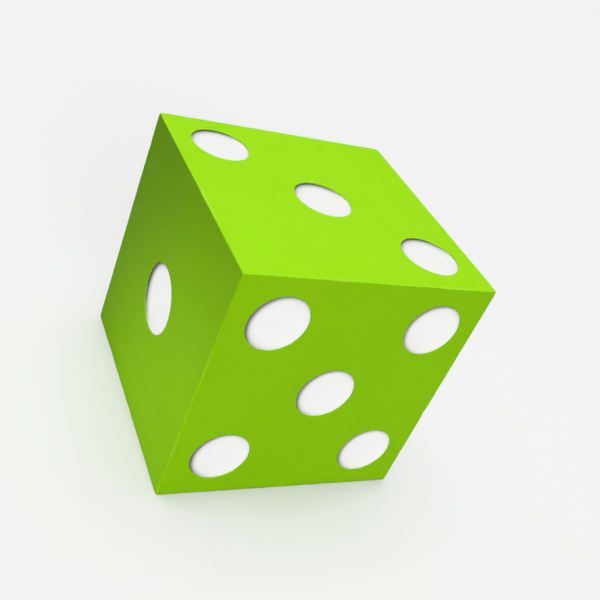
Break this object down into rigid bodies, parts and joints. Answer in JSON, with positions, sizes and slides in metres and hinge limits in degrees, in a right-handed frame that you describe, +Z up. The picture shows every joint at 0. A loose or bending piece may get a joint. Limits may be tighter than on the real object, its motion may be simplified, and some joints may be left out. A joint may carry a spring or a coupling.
{
  "type": "casino die",
  "caption": "Cube-shaped die for table games: opaque green plastic with razor edges, each face numbered in round white enamel pips that lie just below it and are slightly dished.",
  "frame": {"origin": "middle of the face that the die stands on, the four, in the plane of the table", "axes": "+Z up through the middle of the three; -Y is the way the five looks; -X is the way the one looks; +X the six and +Y the two"},
  "size_m": [0.019, 0.019, 0.0191],
  "materials": {
    "green_plastic": "opaque lime green, polished and lightly lapped to a satin",
    "white_enamel": "white enamel filling, soft gloss"
  },
  "bodies": {
    "root": {"die_body": "green_plastic", "pip_1_centre": "white_enamel", "pip_2_upper_left": "white_enamel", "pip_2_lower_right": "white_enamel", "pip_3_upper_left": "white_enamel", "pip_3_centre": "white_enamel", "pip_3_lower_right": "white_enamel", "pip_4_upper_left": "white_enamel", "pip_4_upper_right": "white_enamel", "pip_4_lower_left": "white_enamel", "pip_4_lower_right": "white_enamel", "pip_5_upper_left": "white_enamel", "pip_5_upper_right": "white_enamel", "pip_5_centre": "white_enamel", "pip_5_lower_left": "white_enamel", "pip_5_lower_right": "white_enamel", "pip_6_upper_left": "white_enamel", "pip_6_upper_right": "white_enamel", "pip_6_middle_left": "white_enamel", "pip_6_middle_right": "white_enamel", "pip_6_lower_left": "white_enamel", "pip_6_lower_right": "white_enamel"}
  },
  "joints": []
}
